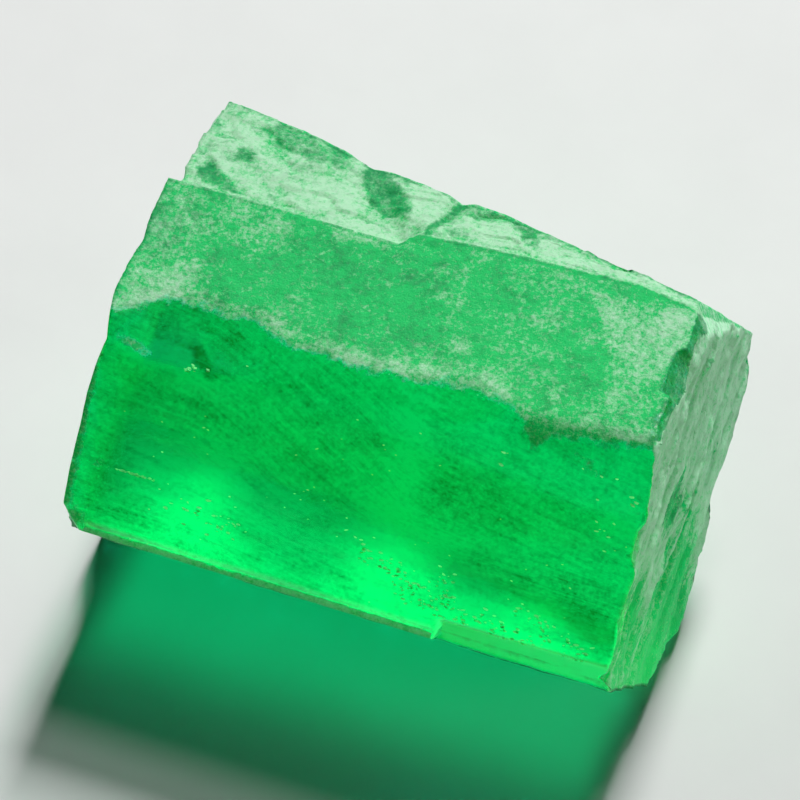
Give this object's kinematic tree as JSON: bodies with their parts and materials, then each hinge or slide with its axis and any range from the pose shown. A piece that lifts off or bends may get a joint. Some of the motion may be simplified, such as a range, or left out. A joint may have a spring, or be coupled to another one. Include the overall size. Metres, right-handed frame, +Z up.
{
  "type": "raw emerald crystal",
  "caption": "Stubby transparent green hexagonal beryl prism with broken ends, a frosted top face and a smooth sloping side face, lying on one of its prism faces",
  "frame": {"origin": "centre of the bounding box in X and Y, on the surface the crystal rests on", "axes": "+X along the prism axis towards the rough end face, +Y towards the back, +Z up"},
  "size_m": [0.0122, 0.0104, 0.0095],
  "materials": {
    "emerald": "natural beryl: glassy on the sloping side face, finely etched and frosted on the top, the band behind it and the broken ends"
  },
  "bodies": {
    "root": {"emerald_crystal": "emerald"}
  },
  "joints": []
}
